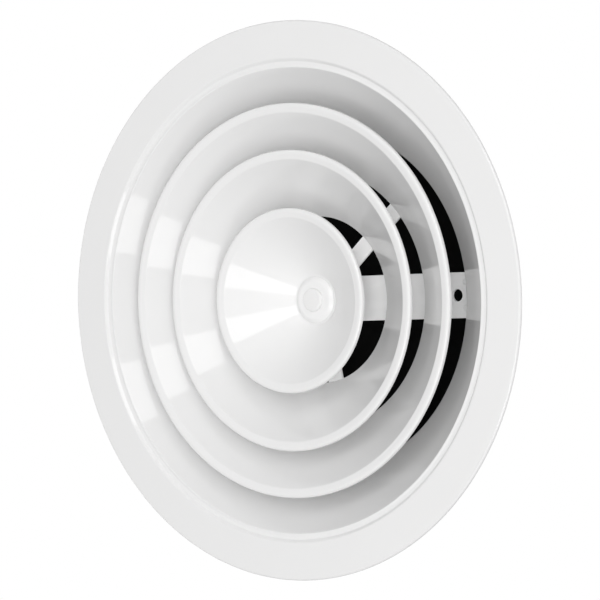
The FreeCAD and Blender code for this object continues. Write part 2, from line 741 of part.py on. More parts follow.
def screw_cap():
    """Plastic cap that snaps into the cup and hides the screw's head."""
    body = new_body("screw_cap")
    outside = f"({RECESS_RAD} + cap_lap)"
    skirt = f"({RECESS_RAD} - cap_clear)"
    crown = f"({CUP_FACE} - cap_high)"
    turn(body, "cap", [
        ("0", crown),
        (outside, crown),
        (outside, CUP_FACE),
        (skirt, CUP_FACE),
        (skirt, f"{CUP_FACE} + cap_skirt"),
        (f"{skirt} - cap_wall", f"{CUP_FACE} + cap_skirt"),
        (f"{skirt} - cap_wall", f"{crown} + cap_wall"),
        ("0", f"{crown} + cap_wall"),
    ])
    round_circles(body, "edge", "cap_edge", [(outside, crown)])


# ---------------------------------------------------------------- build


def build():
    face_flange()
    duct_spigot()
    neck_rivets()
    ceiling_gasket()
    crossbar()
    bar_nut()
    ring_cone("outer_cone", OUTER_RIM, OUTER_REAR)
    ring_cone("inner_cone", INNER_RIM, INNER_REAR)
    centre_cone()
    for number in range(ARMS):
        arm(number)
    hub_plate()
    core_rivets("outer_cone_rivets", ear_hole(OUTER_REAR), f"({ARM_LEVEL} - sheet)", PLATE_LEVEL)
    core_rivets("inner_cone_rivets", ear_hole(INNER_REAR), f"({ARM_LEVEL} - sheet)", PLATE_LEVEL)
    core_rivets("hub_rivets", PLATE_RIVET, ARM_LEVEL, PLATE_TOP)
    hub_spacer()
    hub_cup()
    hub_ring()
    adjusting_screw()
    flat_ring("thrust_washer", SCREW_HOLE, "head_rad", HEAD_TOP, "washer_thick")
    flat_ring("wave_washer", SCREW_HOLE, "shank_rad + wave_width", NECK_TOP, "wave_thick")
    retaining_clip()
    stop_nut()
    screw_cap()
    doc.recompute()


def check():
    """Every object has to have worked, and every sub-part has to be a valid solid."""
    for item in doc.Objects:
        if "Invalid" in item.State or "Error" in item.State:
            raise RuntimeError(f"{item.Name} failed: {item.State}")
    for node in nodes:
        if node.Shape.isNull() or not node.Shape.isValid() or not node.Shape.Solids:
            raise RuntimeError(f"{node.Label} is not a valid solid")


def write():
    os.makedirs("parts", exist_ok=True)
    for node in nodes:
        node.Shape.exportStep(os.path.join("parts", node.Label + ".step"))
        print(f"{node.Label}: {len(node.Shape.Solids)} solid(s), {node.Shape.Volume:.1f} mm3")


fill_sheet()
build()
check()
write()
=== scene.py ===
"""Looks of a round ceiling air diffuser: pressed and powder coated cones round an adjusting screw.

+Z runs up into the duct and the face looks down, so the camera stands below and looks up.
Lengths are in metres, and MM turns millimetres into them.
"""

import math

import bpy
from mathutils import Matrix, Vector


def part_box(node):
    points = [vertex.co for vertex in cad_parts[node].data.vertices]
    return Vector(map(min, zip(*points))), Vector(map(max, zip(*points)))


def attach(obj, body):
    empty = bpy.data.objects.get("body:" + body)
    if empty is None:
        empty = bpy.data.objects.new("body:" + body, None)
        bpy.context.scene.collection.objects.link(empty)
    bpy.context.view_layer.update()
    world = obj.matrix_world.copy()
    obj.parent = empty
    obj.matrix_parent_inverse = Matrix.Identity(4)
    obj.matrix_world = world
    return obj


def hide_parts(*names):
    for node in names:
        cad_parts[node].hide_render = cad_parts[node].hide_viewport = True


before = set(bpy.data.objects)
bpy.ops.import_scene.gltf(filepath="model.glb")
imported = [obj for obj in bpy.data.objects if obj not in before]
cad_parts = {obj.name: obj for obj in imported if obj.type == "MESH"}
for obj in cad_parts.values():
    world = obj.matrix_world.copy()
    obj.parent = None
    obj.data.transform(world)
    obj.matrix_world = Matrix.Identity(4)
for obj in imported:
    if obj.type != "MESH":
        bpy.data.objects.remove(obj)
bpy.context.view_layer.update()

MM = 0.001
SHEET = 0.8 * MM                    # thickness of the pressed parts
PITCH = 1.0 * MM                    # pitch of the adjusting screw
BOSS_HIGH = 2.1 * MM                # height of the cup's boss over the centre cone's floor
SCREW_HOLE = 3.05 * MM              # radius of a plain hole for the screw
SIDES = 240                         # facets round the large turned parts
ARC_STEP = math.radians(7.5)        # facets along a bend
HOLD = 0.45 * MM                    # distance of a holding loop from a bend's end
MERGE = 0.002 * MM                  # vertices closer than this are one
CORE_TURN = math.radians(-41.5)     # direction of the first arm, from the crossbar
ARMS = 3
NECK_RIVETS = 6
RIVET_INSET = 2.4 * MM              # neck rivets, below the collar's top


# ---------------------------------------------------------------- sizes read from the frame


def reaches(node):
    """Least and greatest distance of a node from the duct's axis."""
    distances = [math.hypot(v.co.x, v.co.y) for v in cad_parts[node].data.vertices]
    return min(distances), max(distances)


def levels(node):
    """Lowest and highest level of a node."""
    low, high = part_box(node)
    return low.z, high.z


COLLAR_IN, FLANGE_RAD = reaches("face_flange")
FACE, COLLAR_TOP = levels("face_flange")
SPIGOT_RAD = COLLAR_IN + 2 * SHEET
SPIGOT_FOOT, SPIGOT_TOP = levels("duct_spigot")
ARM_LEVEL, PLATE_LEVEL = levels("core_arm_1")
BAR_LEVEL, TAB_TOP = levels("crossbar")
PLATE_TOP = levels("hub_plate")[1]


# ---------------------------------------------------------------- modelling by hand


def deselect():
    """Leave edit mode and select nothing."""
    if bpy.context.object and bpy.context.object.mode != "OBJECT":
        bpy.ops.object.mode_set(mode="OBJECT")
    bpy.ops.object.select_all(action="DESELECT")


def pick(piece, *others):
    """Select a piece, and others with it, and make it the active one."""
    deselect()
    for item in (piece, *others):
        item.select_set(True)
    bpy.context.view_layer.objects.active = piece


def settle(piece, name):
    """Name a piece and put its place into its mesh."""
    pick(piece)
    bpy.ops.object.transform_apply(location=True, rotation=True, scale=True)
    piece.name = name
    piece.data.name = name
    return piece


def edit(piece):
    pick(piece)
    bpy.ops.object.mode_set(mode="EDIT")


def leave():
    bpy.ops.object.mode_set(mode="OBJECT")


def tidy_mesh(piece):
    """Merge doubles and point all faces outwards."""
    edit(piece)
    bpy.ops.mesh.select_all(action="SELECT")
    bpy.ops.mesh.remove_doubles(threshold=MERGE)
    bpy.ops.mesh.normals_make_consistent(inside=False)
    leave()
    if enclosed(piece) < 0:
        edit(piece)
        bpy.ops.mesh.select_all(action="SELECT")
        bpy.ops.mesh.flip_normals()
        leave()


def enclosed(piece):
    """Volume inside a closed mesh, negative when its faces point inwards."""
    piece.data.calc_loop_triangles()
    spots = [vertex.co for vertex in piece.data.vertices]
    total = 0.0
    for triangle in piece.data.loop_triangles:
        a, b, c = (spots[i] for i in triangle.vertices)
        total += a.dot(b.cross(c)) / 6
    return total


def smooth(piece, angle=32):
    """Shade a piece smoothly but for edges sharper than an angle in degrees."""
    pick(piece)
    bpy.ops.object.shade_smooth_by_angle(angle=math.radians(angle))
    return piece


def modify(piece, kind, **settings):
    """Add a modifier and apply it."""
    pick(piece)
    modifier = piece.modifiers.new(kind.title(), kind)
    for key, setting in settings.items():
        setattr(modifier, key, setting)
    bpy.ops.object.modifier_apply(modifier=modifier.name)
    return piece


def soften(piece, width, segments=3):
    """Round a piece's sharp edges."""
    return modify(piece, "BEVEL", width=width, segments=segments, limit_method="ANGLE",
                  angle_limit=math.radians(40), harden_normals=False)


def join(name, pieces):
    """Make one piece of several."""
    pick(*pieces)
    bpy.ops.object.join()
    return settle(bpy.context.object, name)


def copy_of(piece, matrix):
    """A copy with its own mesh, moved by a matrix."""
    twin = piece.copy()
    twin.data = piece.data.copy()
    bpy.context.scene.collection.objects.link(twin)
    twin.data.transform(matrix)
    return twin


def rounded(corners, loop=False):
    """Points of an outline whose corners are (radius, level, bend), with arcs and holding loops."""
    spots = [Vector(corner[:2]) for corner in corners]
    count = len(corners)
    points = []
    for i, (_, _, bend) in enumerate(corners):
        here, before, after = spots[i], spots[i - 1], spots[(i + 1) % count]
        if not bend or (not loop and i in (0, count - 1)):
            points.append(here)
            continue
        back, ahead = (before - here).normalized(), (after - here).normalized()
        half = back.angle(ahead) / 2
        centre = here + (back + ahead).normalized() * (bend / math.sin(half))
        start = here + back * (bend / math.tan(half)) - centre
        end = here + ahead * (bend / math.tan(half)) - centre
        sweep = math.pi - 2 * half
        steps = max(2, math.ceil(sweep / ARC_STEP))
        for k in range(steps + 1):
            part = sweep * k / steps
            turned_to = start * math.sin(sweep - part) + end * math.sin(part)
            points.append(centre + turned_to / math.sin(sweep))
    return held(points, loop)


def held(points, loop):
    """Add a holding loop near both ends of each long straight run."""
    result = []
    runs = len(points) if loop else len(points) - 1
    for i in range(runs):
        here, after = points[i], points[(i + 1) % len(points)]
        result.append(here)
        run = (after - here).length
        if run > 4 * HOLD:
            result += [here.lerp(after, HOLD / run), here.lerp(after, 1 - HOLD / run)]
    return result if loop else result + [points[-1]]


def walled(path, thickness):
    """Closed outline of a sheet whose one side is the path and whose other side is to its left."""
    other = []
    for i, point in enumerate(path):
        back = (point - path[i - 1]).normalized() if i else None
        ahead = (path[i + 1] - point).normalized() if i + 1 < len(path) else None
        along = ((back or ahead) + (ahead or back)).normalized()
        spread = 1 if back is None or ahead is None else along.dot(ahead)
        other.append(point + Vector((-along.y, along.x)) * thickness / spread)
    return path + other[::-1]


def spun(name, outline, sides=SIDES):
    """Turn a closed outline of (radius, level) round the axis, ring after ring."""
    deselect()
    radius, level = outline[0]
    bpy.ops.mesh.primitive_circle_add(vertices=sides, radius=radius, location=(0, 0, level))
    piece = bpy.context.object
    bpy.ops.object.mode_set(mode="EDIT")
    for next_radius, next_level in outline[1:] + outline[:1]:
        grow = next_radius / radius
        bpy.ops.mesh.extrude_edges_move(
            TRANSFORM_OT_translate={"value": (0, 0, next_level - level)}
        )
        bpy.ops.transform.resize(value=(grow, grow, 1), center_override=(0, 0, 0))
        radius, level = next_radius, next_level
    leave()
    settle(piece, name)
    tidy_mesh(piece)
    return smooth(piece)


def spun_solid(name, outline, sides=48):
    """Turn an open outline that starts and ends near the axis, and close both its poles."""
    deselect()
    radius, level = outline[0]
    bpy.ops.mesh.primitive_circle_add(
        vertices=sides, radius=radius, fill_type="TRIFAN", location=(0, 0, level)
    )
    piece = bpy.context.object
    bpy.ops.object.mode_set(mode="EDIT")
    bpy.ops.mesh.select_all(action="DESELECT")
    bpy.ops.mesh.select_non_manifold()
    for next_radius, next_level in outline[1:]:
        grow = next_radius / radius
        bpy.ops.mesh.extrude_edges_move(
            TRANSFORM_OT_translate={"value": (0, 0, next_level - level)}
        )
        bpy.ops.transform.resize(value=(grow, grow, 1), center_override=(0, 0, 0))
        radius, level = next_radius, next_level
    bpy.ops.mesh.edge_face_add()
    bpy.ops.mesh.poke()
    leave()
    settle(piece, name)
    tidy_mesh(piece)
    return smooth(piece)


def block(name, low, high):
    """A box between two corners, to be shaped further."""
    deselect()
    middle = (Vector(low) + Vector(high)) / 2
    bpy.ops.mesh.primitive_cube_add(size=1, location=middle)
    piece = bpy.context.object
    piece.scale = Vector(high) - Vector(low)
    return settle(piece, name)


def about_axis(angle):
    return Matrix.Rotation(angle, 4, "Z")


def hand_over(piece, body, slot, finish, *nodes):
    """Give a piece its body and its finish, and hide the CAD nodes it stands for. The slot is not
    used.
    """
    piece.data.materials.clear()
    piece.data.materials.append(finish)
    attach(piece, body)
    if nodes:
        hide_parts(*nodes)
    return piece


# ---------------------------------------------------------------- finishes


class Wire:
    """A shader socket that joins others by Python's arithmetic signs."""

    def __init__(self, nodes, socket):
        self.nodes = nodes
        self.socket = socket

    def __add__(self, other):
        return self.nodes.math("ADD", self, other)

    def __radd__(self, other):
        return self.nodes.math("ADD", other, self)

    def __mul__(self, other):
        return self.nodes.math("MULTIPLY", self, other)

    def __rmul__(self, other):
        return self.nodes.math("MULTIPLY", other, self)

    def __pow__(self, other):
        return self.nodes.math("POWER", self, other)


class Nodes:
    """A node tree that all its nodes are added to by one method."""

    def __init__(self, tree):
        self.tree = tree

    def add(self, kind, settings=None, inputs=None, output=0):
        """Add a node with its settings, then the values or wires of its sockets."""
        node = self.tree.nodes.new("ShaderNode" + kind)
        for key, setting in (settings or {}).items():
            setattr(node, key, setting)
        for key, feed in (inputs or {}).items():
            self.feed(node.inputs[key], feed)
        if not node.outputs:
            return None
        return Wire(self, node.outputs[output])

    def feed(self, socket, feed):
        """Give a socket a wire or a plain value."""
        if isinstance(feed, Wire):
            self.tree.links.new(feed.socket, socket)
        else:
            socket.default_value = feed

    def math(self, operation, first, second):
        return self.add("Math", {"operation": operation}, {0: first, 1: second})


class Finish(Nodes):
    """A material made of nodes round one Principled shader."""

    def __init__(self, name, **constants):
        self.material = bpy.data.materials.new(name)
        self.material.use_nodes = True
        super().__init__(self.material.node_tree)
        self.shader = self.tree.nodes["Principled BSDF"]
        self.wear(**constants)
        self.place = self.add("TexCoord", output="Object")

    def noise(self, scale, detail=2.0, place=None):
        """Noise of so many cells to the metre."""
        return self.add("TexNoise", None, {"Vector": place or self.place, "Scale": scale,
                                           "Detail": detail, "Roughness": 0.55})

    def shades(self, mask, dark, light):
        """A colour between two, by a mask."""
        return self.add("Mix", {"data_type": "RGBA"},
                        {0: mask, 6: (*dark, 1), 7: (*light, 1)}, output=2)

    def bump(self, height, depth, under=None):
        """Surface relief of a depth in metres, over another relief if one is given."""
        inputs = {"Height": height, "Strength": 1.0, "Distance": depth}
        if under:
            inputs["Normal"] = under
        return self.add("Bump", None, inputs)

    def wear(self, **feeds):
        """Feed the shader's own sockets."""
        for key, feed in feeds.items():
            self.feed(self.shader.inputs[key.replace("_", " ")], feed)
        return self.material


def grey(level, warmth=0.0):
    """A grey, a little redder than blue where it has warmth."""
    return (level + warmth, level, level - warmth)


def powder_coat(name, level, gloss):
    """White powder coat: a glossy film over fine orange peel."""
    coat = Finish(name, IOR=1.5)
    cloud = coat.noise(22.0, 3.0)
    peel = coat.noise(520.0, 2.0)
    grain = coat.noise(2600.0, 1.0)
    tone = coat.shades(cloud, grey(level - 0.012, 0.002), grey(level + 0.008, 0.001))
    return coat.wear(
        Base_Color=tone,
        Roughness=gloss + 0.04 * cloud + 0.02 * grain,
        Normal=coat.bump(grain, 0.0010 * MM, coat.bump(peel, 0.005 * MM)),
    )


def zinc_sheet(name):
    """Galvanised sheet with its spangle of crystals."""
    zinc = Finish(name, Metallic=1.0, IOR=1.6)
    crystal_edge = 6 * MM
    warp = zinc.add("VectorMath", {"operation": "MULTIPLY_ADD"},
                    {0: zinc.noise(60.0, 2.0), 1: (crystal_edge,) * 3, 2: zinc.place})
    flake = zinc.add("TexVoronoi", {"feature": "F1"}, {"Vector": warp, "Scale": 190.0}, output="Color")
    mask = zinc.add("SeparateColor", None, {0: flake})
    streak = zinc.noise(900.0, 2.0)
    tone = zinc.shades(mask, (0.50, 0.52, 0.54), (0.74, 0.76, 0.78))
    return zinc.wear(
        Base_Color=tone,
        Roughness=0.26 + 0.2 * mask + 0.06 * streak,
        Normal=zinc.bump(streak, 0.003 * MM, zinc.bump(mask, 0.004 * MM)),
    )


def plated_steel(name, level, rough, tint=0.0):
    """Plated or bare steel with fine turning marks round the axis."""
    steel = Finish(name, Metallic=1.0, IOR=1.6)
    parts = {axis: steel.add("SeparateXYZ", None, {0: steel.place}, output=axis) for axis in "XYZ"}
    radius = (parts["X"] * parts["X"] + parts["Y"] * parts["Y"]) ** 0.5
    tracks = steel.add("CombineXYZ", None, {"X": radius * 40.0, "Y": parts["Z"] * 40.0, "Z": 0.0})
    turning = steel.noise(70.0, 3.0, tracks)
    cloud = steel.noise(140.0, 3.0)
    tone = steel.shades(cloud, grey(level * 0.8, tint), grey(level, tint))
    return steel.wear(
        Base_Color=tone,
        Roughness=rough + 0.12 * turning + 0.1 * cloud,
        Normal=steel.bump(turning, 0.004 * MM),
    )


def closed_foam(name):
    """Closed cell foam."""
    foam = Finish(name, IOR=1.4)
    cells = foam.add("TexVoronoi", {"feature": "F1"}, {"Vector": foam.place, "Scale": 900.0})
    patches = foam.noise(180.0, 3.0)
    tone = foam.shades(cells, (0.022, 0.022, 0.024), (0.06, 0.06, 0.064))
    return foam.wear(
        Base_Color=tone,
        Roughness=0.75 + 0.2 * patches,
        Normal=foam.bump(cells, 0.25 * MM, foam.bump(patches, 0.2 * MM)),
    )


def moulded_cap(name):
    """White moulded plastic."""
    plastic = Finish(name, IOR=1.5)
    cloud = plastic.noise(90.0, 2.0)
    grain = plastic.noise(2200.0, 2.0)
    tone = plastic.shades(cloud, grey(0.80, 0.003), grey(0.815, 0.002))
    return plastic.wear(
        Base_Color=tone,
        Roughness=0.30 + 0.08 * grain,
        Coat_Weight=0.1 * cloud,
        Normal=plastic.bump(grain, 0.004 * MM),
    )


WHITE = powder_coat("white_powder_coat", 0.85, 0.03)
# Copy of the same white coat whose whiter base (0.94 against 0.85) is painted light: it brightens the
# crossbar, welds, arms and hub plate that lie deep behind the cones.
WHITE_WITH_PAINTED_LIGHT = powder_coat("white_powder_coat_painted_light", 0.94, 0.16)
ZINC = zinc_sheet("galvanised_sheet")
PLATED = plated_steel("zinc_plated_steel", 0.66, 0.22)
SPRING = plated_steel("oiled_spring_steel", 0.20, 0.28, 0.004)
RIVET = plated_steel("aluminium_rivet", 0.78, 0.25)
FOAM = closed_foam("gasket_foam")
PLASTIC = moulded_cap("cap_plastic")


# ---------------------------------------------------------------- housing

BAND_RAD = FLANGE_RAD - 20.2 * MM
CREASE_RAD = BAND_RAD - 5.5 * MM
CREASE_LEVEL = FACE + 1.4 * MM
BELL_TOP = CREASE_LEVEL + (CREASE_RAD - COLLAR_IN)     # the bell slopes at 45 degrees


def make_flange():
    """Rim, flat face, step, crease, bell and collar in one pressed sheet."""
    path = rounded([
        (COLLAR_IN, COLLAR_TOP, 0),
        (COLLAR_IN, BELL_TOP, 7.8 * MM),
        (CREASE_RAD - 0.9 * MM, CREASE_LEVEL - 0.05 * MM, 0.9 * MM),     # low ridge at the bell's end
        (CREASE_RAD + 0.5 * MM, CREASE_LEVEL + 0.25 * MM, 0.6 * MM),     # crease
        (CREASE_RAD + 2.4 * MM, CREASE_LEVEL + 0.15 * MM, 0.8 * MM),     # foot of the step
        (BAND_RAD - 1.5 * MM, FACE, 1.5 * MM),                           # top of the step
        (FLANGE_RAD, FACE, 1.2 * MM),
        (FLANGE_RAD, 0, 0),
    ])
    flange = spun("flange_pressing", walled(path, SHEET))
    soften(flange, 0.22 * MM, 2)
    hand_over(flange, "housing", "white_coat", WHITE, "face_flange")


def make_spigot():
    """Rolled tube with a bead that stops the duct, and a lock seam down one side."""
    bead = reaches("duct_spigot")[1]
    high, flat = bead - SPIGOT_RAD, 1.2 * MM
    start = COLLAR_TOP + 1.4 * MM
    end = start + 2 * high + flat
    path = rounded([
        (SPIGOT_RAD, SPIGOT_FOOT, 0),
        (SPIGOT_RAD, start, 1.2 * MM),
        (bead, start + high, 0.9 * MM),
        (bead, end - high, 0.9 * MM),
        (SPIGOT_RAD, end, 1.2 * MM),
        (SPIGOT_RAD, SPIGOT_TOP, 0),
    ])
    tube = spun("spigot_tube", walled(path, SHEET))
    soften(tube, 0.2 * MM, 2)
    seam_half, seam_end, seam_at = 4 * MM, 0.6 * MM, math.radians(118)
    seam = block("spigot_seam", (SPIGOT_RAD - 0.5 * MM, -seam_half, end + seam_end),
                 (SPIGOT_RAD + 0.55 * MM, seam_half, SPIGOT_TOP - seam_end))
    soften(seam, 0.45 * MM, 3)
    seam.data.transform(about_axis(seam_at))
    spigot = join("spigot_tube", [tube, smooth(seam)])
    hand_over(spigot, "housing", "galvanised", ZINC, "duct_spigot")


def make_gasket():
    """Foam ring, softly rounded on the side that meets the ceiling."""
    low, high = levels("ceiling_gasket")
    inside, outside = reaches("ceiling_gasket")
    firm, soft = 0.3 * MM, 1.1 * MM
    outline = rounded([
        (inside, low, firm),
        (outside, low, firm),
        (outside, high, soft),
        (inside, high, soft),
    ], loop=True)
    hand_over(spun("gasket_ring", outline), "housing", "foam", FOAM, "ceiling_gasket")


def make_crossbar():
    """Strip whose ends bend up as tabs: a tab's end face is led along the strip."""
    low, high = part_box("crossbar")
    thick, width, tab = 2 * MM, high.y - low.y, 18 * MM
    bend = 3 * MM                                     # bend radius at the strip's middle
    notch = 5.5 * MM                                  # length of the narrower end
    slope = 0.3 * MM                                  # length over which the strip widens
    hole_at, hole_rad = 84.5 * MM, 3.5 * MM
    reach = high.x - thick / 2                        # middle of a tab
    middle = BAR_LEVEL + thick / 2
    widen = width / tab
    deselect()
    bpy.ops.mesh.primitive_plane_add(size=1, location=(-reach, 0, TAB_TOP))
    bar = bpy.context.object
    bpy.ops.object.mode_set(mode="EDIT")
    bpy.ops.transform.resize(value=(thick, tab, 1), center_override=(-reach, 0, TAB_TOP))

    def lead(x=0.0, z=0.0):
        bpy.ops.mesh.extrude_region_move(TRANSFORM_OT_translate={"value": (x, 0, z)})

    def corner(x):
        bpy.ops.mesh.spin(steps=8, angle=math.pi / 2, center=(x, 0, middle + bend), axis=(0, 1, 0))

    lead(z=middle + bend - TAB_TOP)
    corner(bend - reach)
    lead(x=notch - thick / 2 - bend)
    lead(x=slope)
    bpy.ops.transform.resize(value=(1, widen, 1), center_override=(0, 0, 0))
    lead(x=2 * (high.x - notch - slope))
    lead(x=slope)
    bpy.ops.transform.resize(value=(1, 1 / widen, 1), center_override=(0, 0, 0))
    lead(x=notch - thick / 2 - bend)
    corner(reach - bend)
    lead(z=TAB_TOP - middle - bend)
    leave()
    settle(bar, "crossbar_strip")
    tidy_mesh(bar)
    for x, radius in ((-hole_at, hole_rad), (hole_at, hole_rad), (0, SCREW_HOLE)):
        deselect()
        bpy.ops.mesh.primitive_cylinder_add(vertices=64, radius=radius, depth=5 * thick,
                                            location=(x, 0, BAR_LEVEL))
        drill = bpy.context.object
        modify(bar, "BOOLEAN", operation="DIFFERENCE", object=drill, solver="EXACT")
        bpy.data.objects.remove(drill)
    soften(bar, 0.25 * MM, 3)
    # The bar takes the whiter coat, whose extra brightness is painted light.
    hand_over(smooth(bar), "housing", "white_coat_bar", WHITE_WITH_PAINTED_LIGHT, "crossbar")
    make_welds(high.x, tab)


def make_welds(reach, tab):
    """Weld spots before the bends, at the tabs' feet and round the nut."""
    spots = []
    for end in (-1, 1):
        for side in (-1, 1):
            before_bend = (end * (reach - 7.7 * MM), side * (tab / 2 - 1.6 * MM), BAR_LEVEL)
            foot = (end * (reach - 1.0 * MM), side * tab / 2, BAR_LEVEL + 3.4 * MM)
            spots.append((before_bend, 1.3 * MM))
            spots.append((foot, 1.2 * MM))
    nut_edge = 5.3 * MM
    for k in range(3):
        angle = math.radians(30 + 120 * k)
        beside_nut = (nut_edge * math.cos(angle), nut_edge * math.sin(angle), BAR_LEVEL + 2.0 * MM)
        spots.append((beside_nut, 1.1 * MM))
    blobs = []
    for spot, size in spots:
        deselect()
        bpy.ops.mesh.primitive_uv_sphere_add(segments=20, ring_count=12, radius=size, location=spot)
        blob = bpy.context.object
        blob.scale = (1.0, 1.25, 0.75)
        blobs.append(settle(blob, "weld"))
    welds = join("weld_spots", blobs)
    modify(welds, "DISPLACE", strength=0.25 * MM, mid_level=0.5,
           texture=bpy.data.textures.new("weld_ripple", "CLOUDS"))
    # The welds take the whiter coat, whose extra brightness is painted light.
    hand_over(smooth(welds, 60), "housing", "white_coat_bar", WHITE_WITH_PAINTED_LIGHT)


# ---------------------------------------------------------------- cones


def cone_path(rim, rear, rear_level, after=()):
    """Room side of a cone, from its rear edge or floor out to its turned up rim."""
    lip, dip = 5.4 * MM, 0.8 * MM                     # width and depth of the sloping lip
    roll, hem = 2.2 * MM, 2.6 * MM                    # flat crest of the lip, and the edge turned up
    return rounded([
        *after,
        (rear, rear_level, 1.6 * MM if after else 0),
        (rim - lip, FACE + dip, 1.8 * MM),
        (rim - roll, FACE, 3.0 * MM),
        (rim, FACE, 1.3 * MM),
        (rim, FACE + hem, 0),
    ])


def make_ring_cone(node):
    """Ring cone with its three ears for the arms."""
    rear, rim = reaches(node)
    cone = spun(node + "_wall", walled(cone_path(rim, rear, ARM_LEVEL), SHEET))
    soften(cone, 0.2 * MM, 2)
    ear_half, ear_long, clear = 6 * MM, 11.4 * MM, 0.01 * MM
    ears = []
    for k in range(ARMS):
        ear = block("ear", (rear + SHEET, -ear_half, ARM_LEVEL - SHEET),
                    (rear + ear_long, ear_half, ARM_LEVEL - clear))
        soften(ear, 0.25 * MM, 2)
        ear.data.transform(about_axis(CORE_TURN + k * math.tau / ARMS))
        ears.append(smooth(ear))
    cone = join(node + "_pressing", [cone, *ears])
    hand_over(cone, "core", "white_coat", WHITE, node)


def make_centre_cone():
    """Cone with a floor that the cup's neck passes through."""
    neck, rim = reaches("centre_cone")
    floor = levels("hub_cup")[0] + BOSS_HIGH
    foot = 14.4 * MM
    path = cone_path(rim, foot, floor, after=((neck, floor, 0),))
    cone = spun("centre_cone_pressing", walled(path, SHEET))
    soften(cone, 0.2 * MM, 2)
    hand_over(cone, "core", "white_coat", WHITE, "centre_cone")


# ---------------------------------------------------------------- hub, screw and cap


def make_cup():
    """Turned cup: a low boss on the room side, with a neck behind it."""
    face, top = levels("hub_cup")
    outside = reaches("hub_cup")[1]
    recess, recess_top, neck = 5.6 * MM, face + 7 * MM, 9 * MM
    groove, groove_deep, groove_high = PLATE_TOP + 0.05 * MM, 0.6 * MM, 1 * MM
    outline = rounded([
        (recess, face, 0.4 * MM),
        (outside - 3.4 * MM, face, 3.2 * MM),
        (outside, face + BOSS_HIGH, 0.4 * MM),
        (neck, face + BOSS_HIGH, 0),
        (neck, groove, 0),
        (neck - groove_deep, groove, 0),
        (neck - groove_deep, groove + groove_high, 0),
        (neck, groove + groove_high, 0),
        (neck, top, 0.4 * MM),
        (SCREW_HOLE, top, 0.3 * MM),
        (SCREW_HOLE, recess_top, 0),
        (recess, recess_top, 0),
    ], loop=True)
    hand_over(spun("hub_cup_turning", outline, 128), "core", "white_coat", WHITE, "hub_cup")


def make_cap():
    """Thin cap with a slightly crowned face and a skirt."""
    crown, top = levels("screw_cap")
    rad = reaches("screw_cap")[1]
    seat = crown + 2.2 * MM
    skirt, wall = 5.55 * MM, 0.9 * MM
    near = 0.4 * MM                                   # radius of the ring round a pole
    outline = rounded([
        (near, crown + wall, 0),
        (skirt - wall, crown + wall, 0.3 * MM),
        (skirt - wall, top, 0.15 * MM),
        (skirt, top, 0.35 * MM),
        (skirt, seat, 0),
        (rad, seat, 0.15 * MM),
        (rad, crown + 0.3 * MM, 1.3 * MM),
        (near, crown, 0),
    ])
    cap = spun_solid("screw_cap_moulding", outline, 96)
    hand_over(cap, "cap", "cap_plastic", PLASTIC, "screw_cap")


def thread(name, radius, depth, low, high):
    """A helical thread, swept from one tooth by the Screw modifier."""
    root = radius - depth
    deselect()
    bpy.ops.mesh.primitive_circle_add(vertices=4, radius=PITCH)
    tooth = bpy.context.object
    corners = [(root, 0), (radius, PITCH * 0.44), (radius, PITCH * 0.56), (root, PITCH)]
    for vertex, (reach, rise) in zip(tooth.data.vertices, corners):
        vertex.co = (reach, 0, rise)
    edit(tooth)
    bpy.ops.mesh.select_all(action="DESELECT")
    leave()
    for edge in tooth.data.edges:
        edge.select = set(edge.vertices) == {3, 0}    # the side along the root
    bpy.ops.object.mode_set(mode="EDIT")
    bpy.ops.mesh.select_mode(type="EDGE")
    bpy.ops.mesh.delete(type="EDGE_FACE")
    bpy.ops.mesh.select_mode(type="VERT")
    leave()
    turns = max(1, int((high - low) / PITCH) - 1)
    modify(tooth, "SCREW", angle=math.tau, screw_offset=PITCH, iterations=turns, steps=36,
           render_steps=36, use_merge_vertices=True, merge_threshold=0.001 * MM)
    tooth.data.transform(Matrix.Translation((0, 0, low)))
    edit(tooth)
    bpy.ops.mesh.select_all(action="SELECT")
    bpy.ops.mesh.remove_doubles(threshold=0.003 * MM)
    bpy.ops.mesh.fill_holes(sides=0)
    bpy.ops.mesh.select_all(action="SELECT")
    bpy.ops.mesh.normals_make_consistent(inside=False)
    leave()
    settle(tooth, name)
    return smooth(tooth, 40)


def make_screw():
    """Slotted cheese head, plain neck, clip groove and a long thread."""
    foot, end = levels("adjusting_screw")
    head_rad = reaches("adjusting_screw")[1]
    head_top = levels("thrust_washer")[0]
    clip_low, clip_high = levels("retaining_clip")
    shank = 3 * MM
    groove = shank - 0.5 * MM
    core = shank - 0.62 * MM                          # under the thread
    thread_from = clip_high + 2.5 * MM
    near = 0.3 * MM
    outline = rounded([
        (near, foot, 0),
        (head_rad, foot, 0.8 * MM),
        (head_rad, head_top, 0.2 * MM),
        (shank, head_top, 0.2 * MM),
        (shank, clip_low, 0),
        (groove, clip_low, 0),
        (groove, clip_high, 0),
        (shank, clip_high, 0),
        (shank, thread_from, 0),
        (core, thread_from + 0.6 * MM, 0),
        (core, end, 0.3 * MM),
        (near, end, 0),
    ])
    body = spun_solid("screw_body", outline, 64)
    slot = block("slot", (-8 * MM, -0.8 * MM, foot - 1 * MM), (8 * MM, 0.8 * MM, foot + 2 * MM))
    modify(body, "BOOLEAN", operation="DIFFERENCE", object=slot, solver="EXACT")
    bpy.data.objects.remove(slot)
    helix = thread("screw_thread", shank, 0.6 * MM, thread_from - 0.4 * MM, end - 0.4 * MM)
    screw = join("adjusting_screw_turning", [smooth(body), helix])
    hand_over(screw, "screw", "zinc_steel", PLATED, "adjusting_screw")


